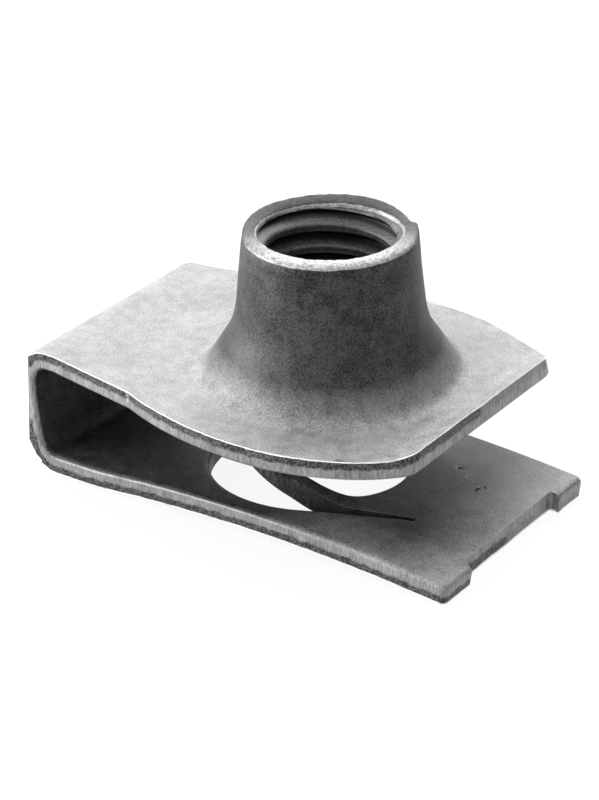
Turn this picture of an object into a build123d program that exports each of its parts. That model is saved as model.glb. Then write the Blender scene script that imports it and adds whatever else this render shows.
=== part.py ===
"""U clip speed nut, M8: a strip of spring steel folded into a U that slips over a panel's edge.

Origin: on the thread's axis, level with the top face of the upper leaf.
+X runs to the open end of the clip, +Z up the threaded collar, and Y across the strip.
"""
from build123d import *
from math import asin, cos, degrees, radians, sin, sqrt, tan
import os

# ---- Driving sizes, millimetres and degrees -----------------------------------------------
sheet = 1.1                  # thickness of the strip
rollover = 0.3               # rounding that the shears leave along the strip's inside face
strip_width = 13.8           # width of the fold and of the lower leaf
bore_radius = 3.35           # tapped M8 hole, at the crests of its thread

# Threaded collar, drawn up out of the upper leaf
collar_height = 8.0          # rim above the upper leaf's top face
rim_radius = 4.52            # outside of the collar at its rim
collar_taper = 6.2           # lean of the collar's outside
flare_top = 3.9              # height at which the collar starts to flare
flare_radius = 4.5
skirt_angle = 57.0           # slope of the flared skirt
foot_radius = 1.1            # sweep of the skirt into the leaf
entry_radius = 0.8           # rounded entry of the bore on the underside
rim_chamfer = 0.5            # lead-in at the top of the bore

# Upper leaf, seen from above: wider than the strip around the collar
belly_half_width = 9.7       # half of the leaf at its widest
belly_offset = 0.6           # widest place, ahead of the thread's axis
front_belly_radius = 12.4    # side of the leaf from the belly to the open end
rear_belly_radius = 20.0     # side of the leaf from the belly towards the fold
rear_belly_angle = 23.5      # turned by that side before the shoulder
shoulder_radius = 2.5        # hollow between the belly and the neck that slants to the fold
neck_stop = 0.45             # the neck ends this far ahead of the fold's bend
upper_reach = 9.25           # open end of the upper leaf
tip_corner_radius = 1.0      # corners of that end
lip_angle = 26.0             # the leaf's last millimetre is turned up
lip_radius = 1.0
lip_height = 0.42            # top of the lip above the leaf

# Fold and lower leaf, seen from the side, measured on the outside of the sheet
fold_reach = 15.9            # outside of the fold from the thread's axis
top_bend_radius = 2.0
fold_depth = 7.23            # lowest place under the fold, below the upper leaf's top face
web_turn = 12.0              # the web between the two bends is bowed by this
bottom_bend_radius = 2.0
heel_length = 1.9            # flat stretch under the bottom bend
heel_radius = 20.0           # rise from the heel to the arch
arch_radius = 104.0          # arch of the lower leaf
arch_start_angle = 5.3       # slope at the rear end of the arch
lower_reach = 11.4           # open end of the lower leaf

# Open end of the lower leaf: two ears with a shallow recess between them
ear_width = 2.5
recess_depth = 0.5
recess_corner_radius = 0.2
ear_corner_radius = 0.4      # outer corners of the ears

# Opening of the lower leaf, seen from above, and the tongue that is lanced out of it
rail_width = 1.2             # what is left of the leaf on each side of the opening
opening_offset = -1.15       # centre of the opening's round end
lance_gap = 0.6              # the tongue's round end is smaller than the opening's by this
tongue_offset = -0.25        # centre of the tongue's round end
tongue_band = 0.8            # width of the tongue beside the screw's hole
tongue_root = 6.9            # where the tongue leaves the leaf
tongue_root_width = 4.7
root_slit = 0.1              # slit on each side of the tongue at its root

# Rise of the tongue, from its root back towards the fold, measured on its top face
root_angle = 6.0             # slope of the first stretch
root_radius = 12.0
root_length = 2.75
ramp_angle = 31.0            # slope of the steep stretch
ramp_radius = 2.2
ramp_length = 1.55
crown_angle = 22.0           # slope of the stretch that carries the screw hole
crown_radius = 4.0
crown_length = 2.8
nose_angle = 3.0             # the tongue's end dips by this
nose_radius = 6.0
nose_length = 1.5

# ---- Worked out from them -----------------------------------------------------------------
half_width = strip_width / 2
opening_radius = half_width - rail_width
opening_root_width = tongue_root_width + 2 * root_slit
tongue_radius = opening_radius - lance_gap
screw_hole_radius = tongue_radius - tongue_band
lip_bend_rise = lip_radius * (1 - cos(radians(lip_angle)))
lip_length = (lip_height - lip_bend_rise) / sin(radians(lip_angle))
lip_run = lip_length * cos(radians(lip_angle)) + lip_radius * sin(radians(lip_angle))
upper_length = upper_reach - lip_run + fold_reach - top_bend_radius
lower_bend_depth = bottom_bend_radius * (1 - sin(radians(web_turn)))
web_radius = (fold_depth - top_bend_radius - lower_bend_depth) / sin(radians(web_turn))
middle = -top_bend_radius - sheet       # a level in the gap between the leaves
reach = 2 * fold_reach                  # further than any face of the part


def fold_edge(inset):
    """One face of the strip, from lip to lower leaf, this far in from its outside."""
    lip_end = Vector(upper_reach, lip_height - inset / cos(radians(lip_angle)))
    lip = PolarLine(lip_end, lip_length - inset * tan(radians(lip_angle)), angle=180 + lip_angle)
    lip_bend = JernArc(lip @ 1, lip % 1, lip_radius + inset, -lip_angle)
    upper = PolarLine(lip_bend @ 1, upper_length, direction=lip_bend % 1)
    top_bend = JernArc(upper @ 1, upper % 1, top_bend_radius - inset, 90)
    web = JernArc(top_bend @ 1, top_bend % 1, web_radius - inset, web_turn)
    bottom_bend = JernArc(web @ 1, web % 1, bottom_bend_radius - inset, 90 - web_turn)
    heel = PolarLine(bottom_bend @ 1, heel_length, direction=bottom_bend % 1)
    rise = JernArc(heel @ 1, heel % 1, heel_radius - inset, arch_start_angle)
    arch_top = (rise @ 1).X + (arch_radius + inset) * sin(radians(arch_start_angle))
    arch_end_angle = degrees(asin((lower_reach - arch_top) / arch_radius))
    arch = JernArc(rise @ 1, rise % 1, arch_radius + inset, -arch_start_angle - arch_end_angle)
    return lip @ 0, arch


def tongue_edge(arch, inset):
    """One face of the tongue, from its root on the arch to its nose, this far below its top."""
    ahead = tongue_root - arch.arc_center.X
    root = Vector(tongue_root, arch.arc_center.Y + sqrt(arch.radius ** 2 - ahead ** 2))
    root_slope = degrees(asin(ahead / arch.radius))
    tangent = Vector(-1, 0).rotate(Axis.Z, -root_slope)
    root_bend = JernArc(root, tangent, root_radius + inset, root_slope - root_angle)
    foot = PolarLine(root_bend @ 1, root_length, direction=root_bend % 1)
    ramp_bend = JernArc(foot @ 1, foot % 1, ramp_radius + inset, root_angle - ramp_angle)
    ramp = PolarLine(ramp_bend @ 1, ramp_length, direction=ramp_bend % 1)
    crown_bend = JernArc(ramp @ 1, ramp % 1, crown_radius - inset, ramp_angle - crown_angle)
    crown = PolarLine(crown_bend @ 1, crown_length, direction=crown_bend % 1)
    nose_bend = JernArc(crown @ 1, crown % 1, nose_radius - inset, crown_angle + nose_angle)
    nose = PolarLine(nose_bend @ 1, nose_length, direction=nose_bend % 1)
    return root, nose @ 1


def round_ended(radius, offset, root_width):
    """The plan of the tongue or of its opening: a round end, narrowing to the tongue's root."""
    with Locations((offset, 0)):
        Circle(radius)
    with Locations((tongue_root, 0)):
        Rectangle(sheet, root_width, align=(Align.MAX, Align.CENTER))
    make_hull()


def beside_inside_face(edge):
    """Whether an edge lies on the inside face of the folded strip."""
    spot = edge @ 0.5
    return inside_line.line.distance_to(Vertex(spot.X, spot.Z, 0)) < sheet / 100


# ---- The blank, seen from above: one outline for the upper leaf, one for all below it -------
with BuildPart() as blank:
    with BuildSketch(Plane.XY.offset(middle)):
        with BuildLine():
            belly = Vector(belly_offset, belly_half_width)
            front_angle = degrees(asin((upper_reach + sheet - belly_offset) / front_belly_radius))
            front = JernArc(belly, (1, 0), front_belly_radius, -front_angle)
            rear = JernArc(belly, (-1, 0), rear_belly_radius, rear_belly_angle)
            neck = Line(rear @ 1, (top_bend_radius + neck_stop - fold_reach, half_width))
            Polyline(neck @ 1, (-reach, half_width), (-reach, 0), ((front @ 1).X, 0), front @ 1)
        make_face()
        fillet(vertices().sort_by_distance(rear @ 1)[0], shoulder_radius)
        mirror(about=Plane.XZ)
    extrude(amount=reach)
    with BuildSketch(Plane.XY.offset(middle)):
        Rectangle(2 * reach, strip_width)
    extrude(amount=-reach)

# ---- The folded strip, with its collar and the opening for the tongue ------------------------
with BuildLine() as inside_line:
    fold_edge(sheet)

with BuildPart() as strip:
    with BuildSketch(Plane.XZ):
        with BuildLine():
            outside_end, outside_arch = fold_edge(0)
            inside_end, inside_arch = fold_edge(sheet)
            Line(outside_end, inside_end)
            Line(outside_arch @ 1, inside_arch @ 1)
        make_face()
    extrude(amount=belly_half_width, both=True)
    add(blank.part, mode=Mode.INTERSECT)
    lower_end_edges = faces().sort_by(Axis.X)[-1].edges().sort_by(Axis.Y)
    fillet((lower_end_edges[0], lower_end_edges[-1]), ear_corner_radius)
    upper_end_edges = edges().filter_by(Axis.Z).group_by(Axis.X)[-1]
    fillet(upper_end_edges, tip_corner_radius)
    inside_edges = edges().filter_by(beside_inside_face)
    fold_lines = inside_edges.filter_by(Axis.Y)
    end_lines = fold_lines.sort_by(Axis.X)[-1:] + fold_lines.sort_by(Axis.Z)[-1:]
    fillet(inside_edges - fold_lines + end_lines, rollover)

    with BuildSketch(Plane.XY.offset(middle)):
        with Locations((lower_reach - recess_depth, 0)):
            Rectangle(reach, strip_width - 2 * ear_width, align=(Align.MIN, Align.CENTER))
        fillet(vertices().group_by(Axis.X)[0], recess_corner_radius)
    extrude(amount=-reach, mode=Mode.SUBTRACT)

    with BuildSketch(Plane.XY.offset(middle)):
        round_ended(opening_radius, opening_offset, opening_root_width)
    extrude(amount=-reach, mode=Mode.SUBTRACT)
    opening_edges = edges(Select.LAST).filter_by(beside_inside_face).sort_by(Axis.X)
    fillet(opening_edges[:-1], rollover)     # all but the edge at the tongue's root

    with BuildSketch(Plane.XZ):
        with BuildLine():
            rim = Vector(rim_radius, collar_height)
            flare_start = rim_radius + (collar_height - flare_top) * tan(radians(collar_taper))
            side = Line(rim, (flare_start, flare_top))
            flare = JernArc(side @ 1, side % 1, flare_radius, 90 - collar_taper - skirt_angle)
            foot_top = foot_radius * (1 - cos(radians(skirt_angle)))
            skirt_length = ((flare @ 1).Y - foot_top) / sin(radians(skirt_angle))
            skirt = PolarLine(flare @ 1, skirt_length, direction=flare % 1)
            foot = JernArc(skirt @ 1, skirt % 1, foot_radius, skirt_angle)
            Polyline(foot @ 1, ((foot @ 1).X, -sheet), (0, -sheet), (0, collar_height), rim)
        make_face()
    revolve(axis=Axis.Z)
    with BuildSketch(Plane.XY.offset(collar_height)):
        Circle(bore_radius)
    extrude(amount=middle - collar_height, mode=Mode.SUBTRACT)
    bore_edges = edges(Select.LAST).filter_by(GeomType.CIRCLE).sort_by(Axis.Z)
    chamfer(bore_edges[-1], rim_chamfer)
    fillet(bore_edges[0], entry_radius)

# ---- The lanced tongue, with the screw's clearance hole ----------------------------------------
with BuildPart() as tongue:
    with BuildSketch(Plane.XZ):
        with BuildLine():
            top_root, top_nose = tongue_edge(inside_arch, 0)
            under_root, under_nose = tongue_edge(outside_arch, sheet)
            Line(top_root, under_root)
            Line(top_nose, under_nose)
        make_face()
    extrude(amount=half_width, both=True)
    with BuildSketch(Plane.XY):
        round_ended(tongue_radius, tongue_offset, tongue_root_width)
        Circle(screw_hole_radius, mode=Mode.SUBTRACT)
    extrude(amount=-reach, mode=Mode.INTERSECT)

# ---- The one piece -----------------------------------------------------------------------------
with BuildPart() as clip_nut:
    add(strip.part)
    add(tongue.part)

clip_nut.part.label = "clip_nut"

os.makedirs("parts", exist_ok=True)
export_step(clip_nut.part, "parts/clip_nut.step")
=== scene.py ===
"""U clip speed nut, M8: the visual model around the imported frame, with its floor, light and camera."""
import math

import bmesh
import bpy
from mathutils import Matrix, Vector, noise


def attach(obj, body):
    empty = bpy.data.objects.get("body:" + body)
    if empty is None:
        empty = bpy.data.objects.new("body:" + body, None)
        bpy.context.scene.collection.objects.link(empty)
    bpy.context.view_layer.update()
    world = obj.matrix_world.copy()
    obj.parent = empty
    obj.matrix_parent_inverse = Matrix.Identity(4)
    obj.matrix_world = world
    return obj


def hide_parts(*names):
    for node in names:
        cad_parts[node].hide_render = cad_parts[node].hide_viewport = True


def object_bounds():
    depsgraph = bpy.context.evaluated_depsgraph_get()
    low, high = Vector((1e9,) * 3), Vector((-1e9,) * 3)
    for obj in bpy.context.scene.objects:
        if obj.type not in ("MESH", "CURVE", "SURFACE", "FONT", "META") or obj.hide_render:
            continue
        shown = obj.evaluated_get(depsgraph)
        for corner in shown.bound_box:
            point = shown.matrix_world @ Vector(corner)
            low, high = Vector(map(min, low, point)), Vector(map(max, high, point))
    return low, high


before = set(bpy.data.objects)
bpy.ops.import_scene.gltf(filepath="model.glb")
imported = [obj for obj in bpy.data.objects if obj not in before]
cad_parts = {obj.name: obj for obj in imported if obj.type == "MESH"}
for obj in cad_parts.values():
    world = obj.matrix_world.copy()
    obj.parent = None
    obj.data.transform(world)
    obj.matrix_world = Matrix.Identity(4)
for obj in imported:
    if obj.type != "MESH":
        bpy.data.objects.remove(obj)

cad_low, cad_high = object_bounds()

MM = 0.001
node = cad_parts["clip_nut"]

# ---- Sizes that the mesh repeats from the solid, millimetres --------------------------------
SHEET = 1.1
FOOT_END = 7.519                   # radius where the collar's foot runs out on the upper leaf
FOOT_RADIUS = 1.1
SKIRT_TURN = 213                   # degrees where the foot's and the flare's arcs meet the skirt
FOOT = dict(centre=(FOOT_END, FOOT_RADIUS), radius=FOOT_RADIUS, start=270, end=SKIRT_TURN)
FLARE = dict(centre=(9.439, 4.386), radius=4.5, start=SKIRT_TURN, end=186.2)
RIM_RADIUS = 4.52
RIM_HEIGHT = 8.0
ENTRY_RADIUS = 0.8                 # rounded entry of the bore, on the underside

# Heights and places that tell the sheet's stretches apart
TOUCH = 0.001                      # vertices this close are the same one
UPPER_LEAF_ABOVE = -2.6
LOWER_LEAF_BELOW = -3.5
TONGUE_BELOW = -4.4
WEB_BEHIND = -13.0                 # X

# ---- Fineness of the mesh -------------------------------------------------------------------
COLUMNS = 144                      # round the collar
SEAM = 0.0001                      # turns from the seam to column 0, so that it is always first
CELL = 0.45                        # the leaves are cut into cells of this size, millimetres

# ---- Thread, M8 x 1.25, right-hand ----------------------------------------------------------
PITCH = 1.25
CREST_RADIUS = 3.35
ROOT_RADIUS = 4.0
CREST_FLAT = PITCH / 4
ROOT_FLAT = PITCH / 8
GROOVE_HEIGHT = 6.795              # middle of one groove, at azimuth 0
RUN_OUT = 0.15                     # over this length the groove gets its depth
ROW_SPACING = 0.1
BORE_FOOT = -SHEET + 0.004         # the bore's last row, a hair above the underside

# ---- Rim: torn by the press, so it is highest in front and dished behind --------------------
RIM_FRONT = 305                    # azimuth of its high, rounded part, degrees
RIM_STEP = 48                      # azimuth where the wall steps in
RIM_SHAPE = (                      # radius and height in front, then behind
    (4.56, 7.60, 4.53, 7.85),
    (4.52, 7.72, 4.53, 7.96),
    (4.42, 7.84, 4.51, 8.00),
    (4.28, 7.92, 4.43, 7.99),
    (4.12, 7.97, 4.22, 7.91),
    (3.96, 8.00, 4.06, 7.84),
    (3.82, 7.99, 3.93, 7.77),
    (3.74, 7.94, 3.88, 7.70),
    (3.71, 7.84, 3.81, 7.59),
)
BEVEL_ROW = 6                      # the bevel round the bore begins at this row of the rim
RIM_ZONE = 2.2                     # the wall is out of round over this height below the rim
RIM_BULGE = 0.09                   # it stands out this much in front of the step
RIM_HOLLOW = 0.2                   # it falls back this much behind the step
RIM_BACK = 0.14                    # it stands out this much at its back
BACK_AZIMUTH = 140
RIPPLE = 0.03
TEAR = 0.035                       # unevenness of the torn rim
TEAR_DEPTH = 0.02                  # and how far it lies below its smooth shape

# ---- Corner, lip and slit of the leaves, where the clip isn't as even as the solid ----------
CORNER_REACH = 0.45                # the rear tip corner is this much longer at its top
CORNER_FLARE = 0.5                 # and this much more at its underside
LIP_START = 6.65                   # X where the turned-up end begins, softly
LIP_REACH = 2.6
LIP_RISE = 0.42
BRAKE_START = 8.16                 # X where the solid turns it up, round this radius
BRAKE_RADIUS = 1.0
BRAKE_END = 8.6                    # X where the solid's lip is straight again
BRAKE_RISE = 0.1                   # its height there
LIP_SLOPE = 0.488                  # its slope from there on
LIP_SOFTNESS = 0.4                 # share of the way from the solid's lip to the soft one
SLIT_ROOT = (6.9, 2.4)             # X and Y of the rear slit's front end
SLIT_SLOPE = 0.468                 # Y that it gains for each millimetre towards the fold
SLIT_MIDDLE = 0.2                  # what lies further behind its line is the leaf's side of it
SLIT_MOUTH = 0.44                  # its width at the rounded top of the leaf's side
SLIT_REACH = 1.2                   # the leaf is drawn in over this width to close it
SLIT_GAP = 0.004                   # what is left of it
SLIT_SHIFT = 0.9                   # the slit lies this far ahead of the solid's
ARCH_MIDDLE = -1.3                 # X where the lower leaf's arch is highest
ARCH_DIAMETER = 210.0

# ---- Wear of the sheared outline ------------------------------------------------------------
WEAR = 0.03                        # depth in millimetres, with long waves
FINE_WEAR = 0.02                   # and with short ones

# ---- Finishes, in the order of the clip's material slots ------------------------------------
SHEET_FACE, SHEARED, RING, BEVEL, BORE, SLIT_PAINTED_SHADE = range(6)


def smooth_step(low, high, value):
    """0 below low, 1 above high, and an S curve between them."""
    share = min(max((value - low) / (high - low), 0.0), 1.0)
    return share * share * (3 - 2 * share)


def arc(centre, radius, start, end, steps=8):
    """Points of a profile's arc, as (radius from the axis, height)."""
    points = []
    for step in range(steps + 1):
        angle = math.radians(start + (end - start) * step / steps)
        points.append((centre[0] + radius * math.cos(angle), centre[1] + radius * math.sin(angle)))
    return points


def straight(start, end, steps):
    """Points inside a profile's straight line."""
    points = []
    for step in range(1, steps):
        share = step / steps
        points.append(tuple(a + (b - a) * share for a, b in zip(start, end)))
    return points


def wall_profile():
    """The collar's outside from just inside the foot's end to just under the rim."""
    foot = arc(**FOOT)
    flare = arc(**FLARE, steps=14)
    skirt = straight(foot[-1], flare[0], steps=4)
    side = straight(flare[-1], RIM_SHAPE[0][:2], steps=18)
    return foot[1:] + skirt + flare + side


def rim_points(turn):
    """The rim's profile at an azimuth in turns, from the outside in to the bore's top."""
    front = smooth_step(-0.8, 0.8, math.cos(math.tau * turn - math.radians(RIM_FRONT)))
    points = []
    for front_radius, front_height, back_radius, back_height in RIM_SHAPE:
        radius = back_radius + (front_radius - back_radius) * front
        height = back_height + (front_height - back_height) * front
        points.append((radius, height))
    return points


def rim_shift(turn, height):
    """How far the collar's wall stands out from its true round shape, in millimetres."""
    degrees = (turn * 360 + 180) % 360 - 180
    near_rim = smooth_step(RIM_HEIGHT - RIM_ZONE, RIM_HEIGHT, height)
    past_step = smooth_step(RIM_STEP - 3, RIM_STEP, degrees)
    bulge = RIM_BULGE * smooth_step(-30, 30, degrees) * (1 - past_step)
    hollow = -RIM_HOLLOW * past_step * (1 - smooth_step(RIM_STEP + 4, RIM_STEP + 55, degrees))
    behind = math.cos(math.tau * turn - math.radians(BACK_AZIMUTH))
    back = RIM_BACK * smooth_step(0.2, 1.0, behind)
    direction = Vector((math.cos(math.tau * turn), math.sin(math.tau * turn), 0))
    ripple = RIPPLE * noise.noise(direction * 4 + Vector((0, 0, height * 0.6)))
    fine = RIPPLE * noise.noise(direction * 24 + Vector((0, 0, height * 2)))
    return near_rim * (bulge + hollow + back) + ripple + fine * near_rim


def bore_radius(height, turn, top):
    """Radius of the bore's wall, with its thread, at a height and an azimuth in turns."""
    mouth_radius, mouth_height = top
    radius = max(CREST_RADIUS, mouth_radius - (mouth_height - height))
    entry_top = ENTRY_RADIUS - SHEET
    if height < entry_top:
        drop = min(entry_top - height, ENTRY_RADIUS)
        radius = max(radius, CREST_RADIUS + ENTRY_RADIUS - math.sqrt(ENTRY_RADIUS ** 2 - drop ** 2))
    away = (height - GROOVE_HEIGHT - PITCH * turn) % PITCH
    away = min(away, PITCH - away)
    slope = (ROOT_RADIUS - CREST_RADIUS) / ((PITCH - CREST_FLAT - ROOT_FLAT) / 2)
    depth = min(max(((PITCH - CREST_FLAT) / 2 - away) * slope, 0), ROOT_RADIUS - CREST_RADIUS)
    thread = CREST_RADIUS + depth
    share = smooth_step(0, RUN_OUT, mouth_height - height)
    return max(radius, mouth_radius + (thread - mouth_radius) * share)


def thread_levels(top):
    """Heights of the bore's rows at azimuth 0, top down, with rows on every edge of the thread."""
    crest, root = (PITCH - CREST_FLAT) / 2, ROOT_FLAT / 2
    edges = [crest, root, -root, -crest, crest - PITCH]
    levels = []
    centre = GROOVE_HEIGHT + PITCH * math.ceil((top - GROOVE_HEIGHT) / PITCH)
    while centre > -SHEET - 2 * PITCH:
        for high, low in zip(edges, edges[1:]):
            count = math.ceil((high - low) / ROW_SPACING)
            for step in range(count):
                levels.append(centre + high + (low - high) * step / count)
        centre -= PITCH
    return levels


def ring_of(mesh, places):
    """One ring of vertices round the collar from (radius, height) pairs, one for each column."""
    ring = []
    for column, (radius, height) in enumerate(places):
        angle = math.tau * column / COLUMNS
        spot = Vector((radius * math.cos(angle), radius * math.sin(angle), height))
        ring.append(mesh.verts.new(spot * MM))
    return ring


def fill_between(mesh, upper, lower):
    """Makes and gives the faces between two lists of vertices, with shared corners used once."""
    made = []
    for one in range(len(upper) - 1):
        corners = []
        for vertex in (upper[one], upper[one + 1], lower[one + 1], lower[one]):
            if vertex not in corners:
                corners.append(vertex)
        if len(corners) > 2:
            made.append(mesh.faces.new(corners))
    return made


def add_collar_wall(mesh):
    """The collar's outside and its rim; gives the lowest ring and the ring round the bore."""
    turns = [column / COLUMNS for column in range(COLUMNS)]
    rings = []
    for radius, height in wall_profile():
        grown = smooth_step(0.1, 1.5, height)
        places = [(radius + rim_shift(turn, height) * grown, height) for turn in turns]
        rings.append(ring_of(mesh, places))
    for row in range(len(RIM_SHAPE)):
        places = []
        for turn in turns:
            radius, height = rim_points(turn)[row]
            outer = smooth_step(RIM_SHAPE[-1][0], RIM_RADIUS, radius)
            direction = Vector((math.cos(math.tau * turn), math.sin(math.tau * turn), radius))
            tear = TEAR * noise.noise(direction * 14) - TEAR_DEPTH
            height = min(height + tear, RIM_HEIGHT)
            places.append((radius + rim_shift(turn, height) * outer, height))
        rings.append(ring_of(mesh, places))
    rim_start = len(rings) - len(RIM_SHAPE)
    for row, (ring, following) in enumerate(zip(rings, rings[1:])):
        for face in fill_between(mesh, ring + ring[:1], following + following[:1]):
            if row > rim_start:
                face.material_index = RING if row < rim_start + BEVEL_ROW else BEVEL
    return rings[0], rings[-1]


def add_bore(mesh, mouth):
    """The threaded bore's wall, hung from the rim's last ring; gives the vertices at its foot.

    The rows climb one pitch on each turn, so the last column meets the first one a turn lower.
    """
    levels = thread_levels(RIM_HEIGHT)
    rows_per_turn = sum(1 for level in levels if level > levels[0] - PITCH + TOUCH)
    columns = []
    for column, edge in enumerate(mouth):
        turn = column / COLUMNS
        top = (from_axis(edge.co), edge.co.z / MM)
        angle = math.tau * turn
        line = []
        vertex = edge
        spot = top[1]
        for level in levels:
            height = min(max(level + PITCH * turn, BORE_FOOT), top[1])
            if height != spot:
                radius = bore_radius(height, turn, top)
                place = Vector((radius * math.cos(angle), radius * math.sin(angle), height))
                vertex = mesh.verts.new(place * MM)
                spot = height
            line.append(vertex)
        columns.append(line)
    for line, following in zip(columns, columns[1:]):
        fill_between(mesh, line, following)
    seam = [mouth[0]] * rows_per_turn + columns[0]
    fill_between(mesh, columns[-1], seam[: len(levels)])
    return [line[-1] for line in columns]


def from_axis(point):
    return math.hypot(point.x, point.y) / MM


def azimuth(vertex):
    """Turns round the collar's axis, from 0 to 1, with the seam where the columns have theirs."""
    return (math.atan2(vertex.co.y, vertex.co.x) / math.tau + 1 + SEAM) % 1


def join_rings(mesh, one, other):
    """Triangles between two rings of vertices round the collar's axis."""
    one = sorted(one, key=azimuth)
    other = sorted(other, key=azimuth)
    done_one = done_other = 0
    while done_one < len(one) or done_other < len(other):
        here, there = one[done_one % len(one)], other[done_other % len(other)]
        next_one = azimuth(one[done_one + 1]) if done_one + 1 < len(one) else 1.0
        next_other = azimuth(other[done_other + 1]) if done_other + 1 < len(other) else 1.0
        step_one = done_other == len(other) or (done_one < len(one) and next_one <= next_other)
        if step_one:
            done_one += 1
            mesh.faces.new((here, one[done_one % len(one)], there))
        else:
            done_other += 1
            mesh.faces.new((here, other[done_other % len(other)], there))


def cut_into_cells(mesh):
    """Cuts the flat and bent sheet into small cells, so that it can be shaded and dented finely."""
    bmesh.ops.dissolve_limit(
        mesh, angle_limit=math.radians(0.1), verts=mesh.verts, edges=mesh.edges)
    for axis in range(2):
        across = Vector((axis == 0, axis == 1, 0))
        count = math.ceil((cad_high[axis] - cad_low[axis]) / (CELL * MM))
        for step in range(1, count):
            place = cad_low[axis] + (cad_high[axis] - cad_low[axis]) * step / count
            bmesh.ops.bisect_plane(
                mesh,
                geom=mesh.verts[:] + mesh.edges[:] + mesh.faces[:],
                dist=0.01 * MM,
                plane_co=across * place,
                plane_no=across,
            )


def mark_burr_side(mesh):
    """Marks the outer side of the bent sheet, 1 there and 0 inside, before it is cut into cells."""
    burr = mesh.verts.layers.float.new("burr_side")
    for face in mesh.faces:
        middle = face.calc_center_median() / MM
        upper = face.normal.z > 0.5 and middle.z > UPPER_LEAF_ABOVE
        web = face.normal.x < -0.3 and middle.x < WEB_BEHIND
        lower = face.normal.z < -0.5 and middle.z < LOWER_LEAF_BELOW
        if upper or web or lower:
            for vertex in face.verts:
                vertex[burr] = 1.0


def clip_mesh():
    """The solid's mesh with its plain collar taken off and the detailed one put on."""
    mesh = bmesh.new()
    mesh.from_mesh(node.data)
    for face in mesh.faces:
        face.material_index = SHEET_FACE
    bmesh.ops.remove_doubles(mesh, verts=mesh.verts, dist=TOUCH * MM)
    old_collar = []
    for face in mesh.faces:
        inside = all(from_axis(vertex.co) < FOOT_END + 0.01 for vertex in face.verts)
        high = all(vertex.co.z > (-SHEET - TOUCH) * MM for vertex in face.verts)
        flat = all(abs(vertex.co.z + SHEET * MM) < TOUCH * MM for vertex in face.verts)
        if inside and high and not flat:
            old_collar.append(face)
    bmesh.ops.delete(mesh, geom=old_collar, context="FACES")
    mark_burr_side(mesh)
    cut_into_cells(mesh)
    rims = [edge for edge in mesh.edges if edge.is_boundary]
    corners = {vertex for edge in rims for vertex in edge.verts}
    old_foot = [vertex for vertex in corners if vertex.co.z > -SHEET / 2 * MM]
    old_entry = [vertex for vertex in corners if vertex.co.z < -SHEET / 2 * MM]
    foot_ring, mouth = add_collar_wall(mesh)
    entry_ring = add_bore(mesh, mouth)
    join_rings(mesh, old_foot, foot_ring)
    join_rings(mesh, old_entry, entry_ring)
    bmesh.ops.recalc_face_normals(mesh, faces=mesh.faces)
    return mesh


def spread_corner(mesh):
    """Draws the upper leaf's rear tip corner out, which the shears left longer than the front one."""
    for vertex in mesh.verts:
        x, y, z = vertex.co / MM
        if z > -1.3 and from_axis(vertex.co) > 8.0:
            share = smooth_step(5.5, 9.3, x) * smooth_step(3.0, 6.6, y)
            depth = min(max(-z / SHEET, 0), 1)
            vertex.co.y += (CORNER_REACH + CORNER_FLARE * depth) * share * MM


def beside_slit(point):
    """How far a point lies behind the line of the tongue's rear slit, along Y in millimetres."""
    return point.y - SLIT_ROOT[1] - SLIT_SLOPE * (SLIT_ROOT[0] - point.x)


def close_rear_slit(mesh):
    """Moves the slit on the tongue's rear side ahead, and closes it to a sheared line."""
    around_slit = []
    for face in mesh.faces:
        x, y, z = face.calc_center_median() / MM
        if z < TONGUE_BELOW and 0.3 < y < 6.5 and 1.5 < x < 9.6:
            around_slit.append(face)
    bmesh.ops.triangulate(mesh, faces=around_slit)
    for vertex in mesh.verts:
        x, y, z = vertex.co / MM
        if z < TONGUE_BELOW and y > 0.3 and x < 9.6:
            beside = beside_slit(vertex.co / MM)
            closing = smooth_step(0.8, 1.8, x) * (1 - smooth_step(7.3, 7.7, x))
            if SLIT_MIDDLE < beside < SLIT_REACH:
                drawn_in = max(beside - SLIT_MOUTH, 0) * SLIT_REACH / (SLIT_REACH - SLIT_MOUTH)
                y += (drawn_in - beside) * closing
            elif -SLIT_MIDDLE < beside < SLIT_MIDDLE:
                y += (-SLIT_GAP - beside) * closing
            ahead = SLIT_SHIFT * (1 - smooth_step(0.6, 2.4, abs(beside)))
            ahead *= smooth_step(1.0, 3.0, x) * (1 - smooth_step(7.0, 9.6, x))
            z += ((x - ARCH_MIDDLE) ** 2 - (x + ahead - ARCH_MIDDLE) ** 2) / ARCH_DIAMETER
            vertex.co = Vector((x + ahead, y, z)) * MM


def soften_lip(mesh):
    """Starts the turned-up end of the upper leaf earlier than a sharp brake would."""
    for vertex in mesh.verts:
        x, y, z = vertex.co / MM
        if z > -1.4 and x > 6.5 and from_axis(vertex.co) > 7.6:
            soft = LIP_RISE * (max(x - LIP_START, 0) / LIP_REACH) ** 2
            if x > BRAKE_END:
                braked = BRAKE_RISE + LIP_SLOPE * (x - BRAKE_END)
            else:
                along = max(x - BRAKE_START, 0)
                braked = BRAKE_RADIUS - math.sqrt(BRAKE_RADIUS ** 2 - along ** 2)
            vertex.co.z += LIP_SOFTNESS * (soft - braked) * MM


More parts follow.
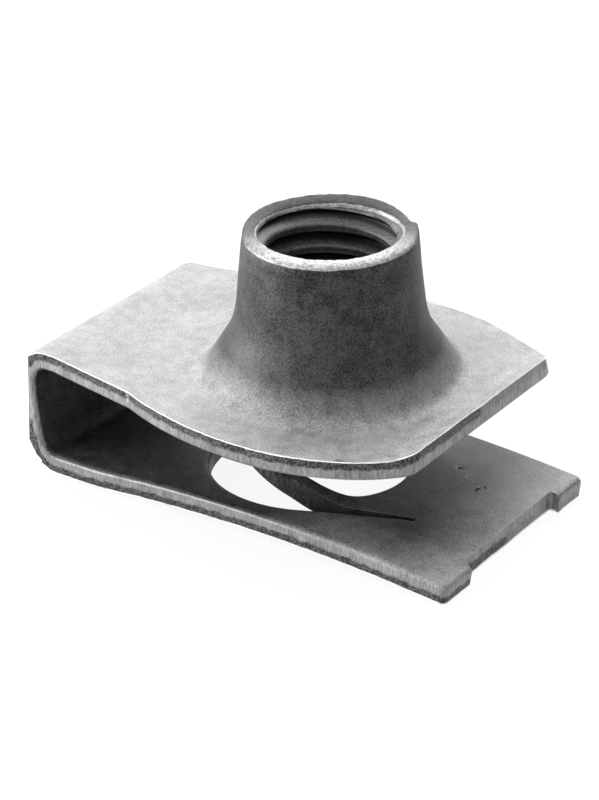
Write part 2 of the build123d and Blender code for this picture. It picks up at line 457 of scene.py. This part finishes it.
def finish_of(face):
    """Which finish a face has, from where it is and how it faces."""
    middle = face.calc_center_median() / MM
    out = math.hypot(middle.x, middle.y)
    on_web = abs(face.normal.y) < 0.3 and middle.x < WEB_BEHIND
    if out < FOOT_END + 0.05 and middle.z > 0.02:
        return BORE if out < ROOT_RADIUS + 0.1 else SHEET_FACE
    if out < CREST_RADIUS + ENTRY_RADIUS and middle.z > -SHEET - 0.01:
        return BORE
    # walls in the lanced opening get near-black steel, painted shade for the shadow inside the slit
    if abs(face.normal.z) < 0.5 and not on_web:
        in_opening = abs(middle.y) < 5.9 and -12 < middle.x < 9.5
        in_closed_slit = middle.y > 1.5 and middle.x > 1.8
        lanced = middle.z < UPPER_LEAF_ABOVE and in_opening
        return SLIT_PAINTED_SHADE if lanced and not in_closed_slit else SHEARED
    return SHEET_FACE


def paint_faces(mesh):
    """Gives each face its finish, and marks the new collar as part of the outer side."""
    burr = mesh.verts.layers.float["burr_side"]
    for face in mesh.faces:
        if face.material_index == SHEET_FACE:
            face.material_index = finish_of(face)
        middle = face.calc_center_median()
        if middle.z > 0.02 * MM and from_axis(middle) < FOOT_END + 0.05:
            for vertex in face.verts:
                vertex[burr] = 1.0


def wear_edges(mesh):
    """Takes the sheared outline back a little, here more and there less."""
    moves = {}
    for edge in mesh.edges:
        kinds = [face.material_index for face in edge.link_faces]
        if sorted(kinds) == [SHEET_FACE, SHEARED]:
            sheared = edge.link_faces[kinds.index(SHEARED)]
            for vertex in edge.verts:
                moves[vertex] = moves.get(vertex, Vector()) - sheared.normal
    for vertex, direction in moves.items():
        if direction.length > 0:
            place = vertex.co / MM
            depth = WEAR * (1 + noise.noise(place * 0.9)) + FINE_WEAR * noise.noise(place * 2.3)
            vertex.co += direction.normalized() * max(depth, 0) * MM


SHARP_ANGLE = 34                   # edges with a sharper bend than this stay sharp, degrees

surface = clip_mesh()
spread_corner(surface)
close_rear_slit(surface)
soften_lip(surface)
surface.normal_update()
paint_faces(surface)
wear_edges(surface)
clip_data = bpy.data.meshes.new("clip")
surface.to_mesh(clip_data)
surface.free()
clip = bpy.data.objects.new("clip", clip_data)
bpy.context.scene.collection.objects.link(clip)
clip_data.shade_smooth()
clip_data.set_sharp_from_angle(angle=math.radians(SHARP_ANGLE))
weighting = clip.modifiers.new("weighted normals", "WEIGHTED_NORMAL")
weighting.keep_sharp = True
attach(clip, "root")
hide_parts("clip_nut")


# ---- Steel ----------------------------------------------------------------------------------
MIX_FROM, MIX_TO, MIX_RESULT = 6, 7, 2     # the colour sockets of a Mix node
EDGE_WEAR_AND_HIGHLIGHT_WIDTH = 0.06                  # edges are rubbed, and painted with a highlight, within this distance
BUMP_HEIGHT = 0.012                # depth of the mottling in the surface


def grey(value):
    """A grey that is a touch cooler than neutral."""
    return (value, value, value * 1.02, 1)


class Shading:
    """A material's node tree, with short calls for the nodes that the materials are made of."""

    def __init__(self, name):
        self.material = bpy.data.materials.new(name)
        self.material.use_nodes = True
        self.tree = self.material.node_tree
        self.shader = self.tree.nodes["Principled BSDF"]
        self.place = self.add("ShaderNodeTexCoord").outputs["Object"]

    def add(self, kind, links=(), **settings):
        made = self.tree.nodes.new(kind)
        for name, value in settings.items():
            setattr(made, name, value)
        for socket, value in dict(links).items():
            self.feed(made.inputs[socket], value)
        return made

    def feed(self, socket, value):
        if isinstance(value, bpy.types.NodeSocket):
            self.tree.links.new(value, socket)
        else:
            socket.default_value = value

    def noise(self, size, detail=3.0, roughness=0.55, stretch=(1, 1, 1)):
        """Noise from 0 to 1 with lumps about this many millimetres across."""
        scaled = self.add("ShaderNodeMapping", {"Vector": self.place, "Scale": stretch})
        made = self.add("ShaderNodeTexNoise", {
            "Vector": scaled.outputs["Vector"],
            "Scale": 1 / (size * MM),
            "Detail": detail,
            "Roughness": roughness,
        })
        return made.outputs["Fac"]

    def remap(self, value, low, high, to_low=0.0, to_high=1.0):
        made = self.add("ShaderNodeMapRange", {
            "Value": value, "From Min": low, "From Max": high, "To Min": to_low, "To Max": to_high,
        })
        return made.outputs["Result"]

    def along(self, axis, start, end, at_start=0.0, at_end=1.0):
        """A value that changes along a stretch of X, Y or Z, in millimetres."""
        where = self.add("ShaderNodeSeparateXYZ", {"Vector": self.place})
        return self.remap(where.outputs[axis], start * MM, end * MM, at_start, at_end)

    def outer_side(self):
        """1 on the outer side of the bent sheet, 0 on its inner side, and shares of it between."""
        return self.add("ShaderNodeAttribute", attribute_name="burr_side").outputs["Fac"]

    def math(self, operation, one, other):
        return self.add("ShaderNodeMath", {0: one, 1: other}, operation=operation).outputs[0]

    def rest_of(self, share):
        return self.math("SUBTRACT", 1.0, share)

    def mix(self, factor, one, other):
        made = self.add("ShaderNodeMix", data_type="RGBA")
        self.feed(made.inputs["Factor"], factor)
        self.feed(made.inputs[MIX_FROM], one)
        self.feed(made.inputs[MIX_TO], other)
        return made.outputs[MIX_RESULT]


class Steel(Shading):
    """Phosphated spring steel: mottled grey with a fine grain, and lighter on its edges, partly rubbed
    wear and partly a painted highlight.
    """

    def __init__(self, name, dark, light, wear_and_highlight, metallic,
                 roughness=0.5, mottle=0.7, streaks=(1, 1, 1)):
        super().__init__(name)
        broad = self.noise(4.0, detail=2.0)
        self.blotches = self.noise(mottle, detail=4.0, stretch=streaks)
        fine = self.noise(0.1, roughness=0.7, stretch=streaks)
        mottled = self.math(
            "ADD",
            self.remap(broad, 0.3, 0.7, -0.2, 0.2),
            self.remap(self.blotches, 0.3, 0.7, -0.3, 0.3),
        )
        self.shade = self.math("ADD", mottled, self.remap(fine, 0.35, 0.65))
        self.colour = self.mix(self.shade, grey(dark), grey(light))
        self.wear_and_highlight = grey(wear_and_highlight)
        self.shader.inputs["Specular IOR Level"].default_value = 0.3
        self.shader.inputs["Metallic"].default_value = metallic
        uneven = self.remap(self.blotches, 0.3, 0.7, roughness - 0.06, roughness + 0.06)
        self.feed(self.shader.inputs["Roughness"], uneven)
        height = self.math("ADD", self.blotches, self.math("MULTIPLY", fine, 0.5))
        bump = self.add("ShaderNodeBump", {"Height": height, "Distance": BUMP_HEIGHT * MM})
        self.feed(self.shader.inputs["Normal"], bump.outputs["Normal"])

    def between(self, dark, light):
        """The steel's mottled grain between two other greys."""
        return self.mix(self.shade, grey(dark), grey(light))

    def edges(self):
        """1 on edges and corners, and 0 on open faces."""
        rounded = self.add("ShaderNodeBevel", {"Radius": EDGE_WEAR_AND_HIGHLIGHT_WIDTH * MM}, samples=6)
        true = self.add("ShaderNodeNewGeometry")
        likeness = self.add(
            "ShaderNodeVectorMath",
            {0: rounded.outputs["Normal"], 1: true.outputs["Normal"]},
            operation="DOT_PRODUCT",
        )
        return self.remap(likeness.outputs["Value"], 0.97, 0.75)

    def connect(self):
        """Puts the finished colour on the shader, with the edges blended to a colour that is partly
        rubbed wear and partly a painted highlight.
        """
        patchy = self.remap(self.blotches, 0.35, 0.6, 0.3, 1.0)
        # painted highlight along the edges and corners, on top of their rubbed wear
        edge_wear_and_highlight = self.math("MULTIPLY", self.edges(), patchy)
        self.feed(self.shader.inputs["Base Color"], self.mix(edge_wear_and_highlight, self.colour, self.wear_and_highlight))


def shade_by_place(steel):
    """The sheet is painted dark up the drawn collar and inside the fold, as painted shade, and lighter
    along the lip.
    """
    # painted shade: the collar's steep wall is painted far darker than the leaf
    collar_painted_shade = steel.along("Z", 0.05, 1.8)
    steel.colour = steel.mix(collar_painted_shade, steel.colour, steel.between(0.002, 0.06))
    outside = steel.outer_side()
    # lighter on the outer side along the turned-up lip
    lip = steel.math("MULTIPLY", outside, steel.along("X", 7.6, 9.0, 0.0, 0.8))
    steel.colour = steel.mix(lip, steel.colour, steel.between(0.18, 0.4))
    # painted shade inside the fold on the sheet's inner side, strongest towards the fold, left off the
    # front strip where light reaches in
    lit_front_strip = steel.math(
        "MULTIPLY", steel.along("Y", -7, -3.5, 1.0, 0.0), steel.along("X", 0, 4, 0.0, 0.9))
    painted_shade_share = steel.math("MULTIPLY", steel.along("X", 11, 7, 0.35, 1.0), steel.rest_of(lit_front_strip))
    inside = steel.math("MULTIPLY", painted_shade_share, steel.rest_of(outside))
    steel.colour = steel.mix(inside, steel.colour, steel.between(0.002, 0.055))


def band(steel):
    """Sheared faces: torn and dark beside the outer side, smooth beside the inner one, with a painted
    highlight along the outer edge.
    """
    side = steel.outer_side()
    wander = steel.noise(0.5)
    ragged = steel.math("ADD", side, steel.remap(wander, 0.3, 0.7, -0.1, 0.1))
    torn = steel.remap(ragged, 0.36, 0.5)
    smooth_end = steel.math(
        "MULTIPLY", steel.along("X", 8.3, 8.6), steel.along("Y", -0.2, 0.2, 0.0, 0.75))
    torn = steel.math("MULTIPLY", torn, steel.rest_of(smooth_end))
    pits = steel.remap(steel.noise(0.12), 0.4, 0.6)
    steel.colour = steel.mix(torn, steel.colour, steel.mix(pits, grey(0.015), grey(0.1)))
    # painted highlight: a bright line along the burr edge
    edge = steel.math("ADD", side, steel.remap(wander, 0.3, 0.7, -0.02, 0.02))
    burr_painted_highlight = steel.remap(edge, 0.9, 0.94)
    steel.colour = steel.mix(burr_painted_highlight, steel.colour, grey(0.8))


def paint_shade_in_roots(steel):
    """Painted shade: the thread is painted darker down in its roots."""
    level = steel.add(
        "ShaderNodeVectorMath", {0: steel.place, 1: (1, 1, 0)}, operation="MULTIPLY")
    out = steel.add(
        "ShaderNodeVectorMath", {0: level.outputs["Vector"]}, operation="LENGTH")
    # painted shade deep in the thread's roots
    painted_shade_share = steel.remap(out.outputs["Value"], 3.7 * MM, 3.95 * MM)
    steel.colour = steel.mix(painted_shade_share, steel.colour, grey(0.02))


def beads_with_painted_highlight(steel, bright, start, full):
    """The rim is torn into beads, painted bright in front as a painted highlight, and its edges at the
    sides are lighter, partly wear and partly a painted highlight.

    The beads set in at start and are there in full at full, both in millimetres to the front of
    the collar's axis.
    """
    front = math.radians(RIM_FRONT)
    toward = steel.add(
        "ShaderNodeVectorMath",
        {0: steel.place, 1: (math.cos(front), math.sin(front), 0)},
        operation="DOT_PRODUCT",
    ).outputs["Value"]
    highlit_beads = steel.mix(steel.noise(0.15, detail=1.0), grey(0.0), grey(bright))
    share = steel.remap(toward, start * MM, full * MM)
    # painted highlight: the beads are bright only on the rim's front
    steel.colour = steel.mix(share, steel.colour, highlit_beads)
    sides = steel.remap(toward, -2.5 * MM, -1.0 * MM)
    steel.wear_and_highlight = steel.mix(sides, steel.wear_and_highlight, grey(0.6))


# each finish's edge colour is partly rubbed wear and partly a painted edge highlight
finishes = {
    SHEET_FACE: Steel("sheet_steel", dark=0.13, light=0.31, wear_and_highlight=0.45, metallic=0.15),
    SHEARED: Steel("sheared_steel", dark=0.13, light=0.28, wear_and_highlight=0.4, metallic=0.4,
                   roughness=0.45, streaks=(1, 1, 0.2)),
    RING: Steel("torn_steel", dark=0.015, light=0.055, wear_and_highlight=0.0, metallic=0.6, mottle=0.25),
    BEVEL: Steel("rubbed_and_highlit_steel", dark=0.12, light=0.3, wear_and_highlight=0.0, metallic=0.8,
                 roughness=0.45, mottle=0.25),
    BORE: Steel("thread_steel", dark=0.06, light=0.15, wear_and_highlight=0.14, metallic=0.7, mottle=0.4),
    # painted shade: near-black steel for the walls inside the lanced opening
    SLIT_PAINTED_SHADE: Steel("slit_painted_shade", dark=0.01, light=0.05, wear_and_highlight=0.25, metallic=0.3),
}
shade_by_place(finishes[SHEET_FACE])
band(finishes[SHEARED])
beads_with_painted_highlight(finishes[RING], bright=0.65, start=0.0, full=3.5)
beads_with_painted_highlight(finishes[BEVEL], bright=0.95, start=-1.5, full=2.5)
paint_shade_in_roots(finishes[BORE])
for slot in sorted(finishes):
    finishes[slot].connect()
    clip_data.materials.append(finishes[slot].material)

# ---- Floor: white paper that keeps a faint shadow -------------------------------------------
FLOOR_SIZE = 3.0                   # metres, from the middle to each side
PAPER_WHITE = 0.85
PAPER_GLOW = 0.9                   # share of the paper that shows as plain white

floor_data = bpy.data.meshes.new("floor")
floor_mesh = bmesh.new()
bmesh.ops.create_grid(floor_mesh, x_segments=1, y_segments=1, size=FLOOR_SIZE)
floor_mesh.to_mesh(floor_data)
floor_mesh.free()
floor = bpy.data.objects.new("floor", floor_data)
floor.location = (0, 0, cad_low.z)
bpy.context.scene.collection.objects.link(floor)
paper = Shading("paper")
paper.shader.inputs["Base Color"].default_value = (PAPER_WHITE,) * 3 + (1,)
paper.shader.inputs["Roughness"].default_value = 0.9
path = paper.add("ShaderNodeLightPath")
seen = paper.math("MAXIMUM", path.outputs["Is Camera Ray"], path.outputs["Is Glossy Ray"])
seen = paper.math("MAXIMUM", seen, path.outputs["Is Transmission Ray"])
glow = paper.add("ShaderNodeEmission", {"Color": (1, 1, 1, 1), "Strength": 1.0})
blend = paper.add("ShaderNodeMixShader", {
    0: paper.math("MULTIPLY", seen, PAPER_GLOW),
    1: paper.shader.outputs["BSDF"],
    2: glow.outputs["Emission"],
})
output = paper.tree.nodes["Material Output"]
paper.feed(output.inputs["Surface"], blend.outputs["Shader"])
floor_data.materials.append(paper.material)

# ---- Light ----------------------------------------------------------------------------------
WORLD_STRENGTH = 0.4

world = bpy.data.worlds.new("studio")
bpy.context.scene.world = world
world.use_nodes = True
background = world.node_tree.nodes["Background"]
background.inputs["Color"].default_value = (1, 1, 1, 1)
background.inputs["Strength"].default_value = WORLD_STRENGTH


def softbox(name, azimuth, elevation, distance, width, height, power):
    """A soft rectangular lamp that faces the clip from this azimuth and elevation.

    The azimuth is counted as the camera's is, so that the camera's own side is at 35.
    """
    turn, tilt = math.radians(azimuth), math.radians(elevation)
    away = Vector((
        math.sin(turn) * math.cos(tilt),
        -math.cos(turn) * math.cos(tilt),
        math.sin(tilt),
    ))
    lamp = bpy.data.lights.new(name, "AREA")
    lamp.shape = "RECTANGLE"
    lamp.size = width
    lamp.size_y = height
    lamp.energy = power
    box = bpy.data.objects.new(name, lamp)
    box.location = away * distance
    box.rotation_euler = away.to_track_quat("Z", "Y").to_euler()
    bpy.context.scene.collection.objects.link(box)


softbox("back_box", azimuth=215, elevation=38, distance=0.6, width=1.0, height=0.6, power=8)
softbox("top_box", azimuth=35, elevation=85, distance=0.6, width=1.0, height=1.0, power=4)
softbox("left_box", azimuth=300, elevation=10, distance=0.6, width=0.5, height=0.4, power=9)

# ---- Camera ---------------------------------------------------------------------------------
CAMERA_PLACE = Vector((76.51, -110.61, 67.36)) * MM
CAMERA_AZIMUTH = 35.41
CAMERA_ELEVATION = 27.23
CAMERA_ROLL = -1.168
CAMERA_LENS = 128.4
camera_data = bpy.data.cameras.new("camera")
camera_data.lens = CAMERA_LENS
camera_data.sensor_width = 36
camera_data.clip_start = 0.01
camera = bpy.data.objects.new("camera", camera_data)
turn = Matrix.Rotation(math.radians(CAMERA_AZIMUTH), 4, "Z")
tilt = Matrix.Rotation(math.radians(90 - CAMERA_ELEVATION), 4, "X")
roll = Matrix.Rotation(math.radians(CAMERA_ROLL), 4, "Z")
camera.matrix_world = Matrix.Translation(CAMERA_PLACE) @ turn @ tilt @ roll
bpy.context.scene.collection.objects.link(camera)
bpy.context.scene.camera = camera

bpy.context.scene.view_settings.view_transform = "Standard"
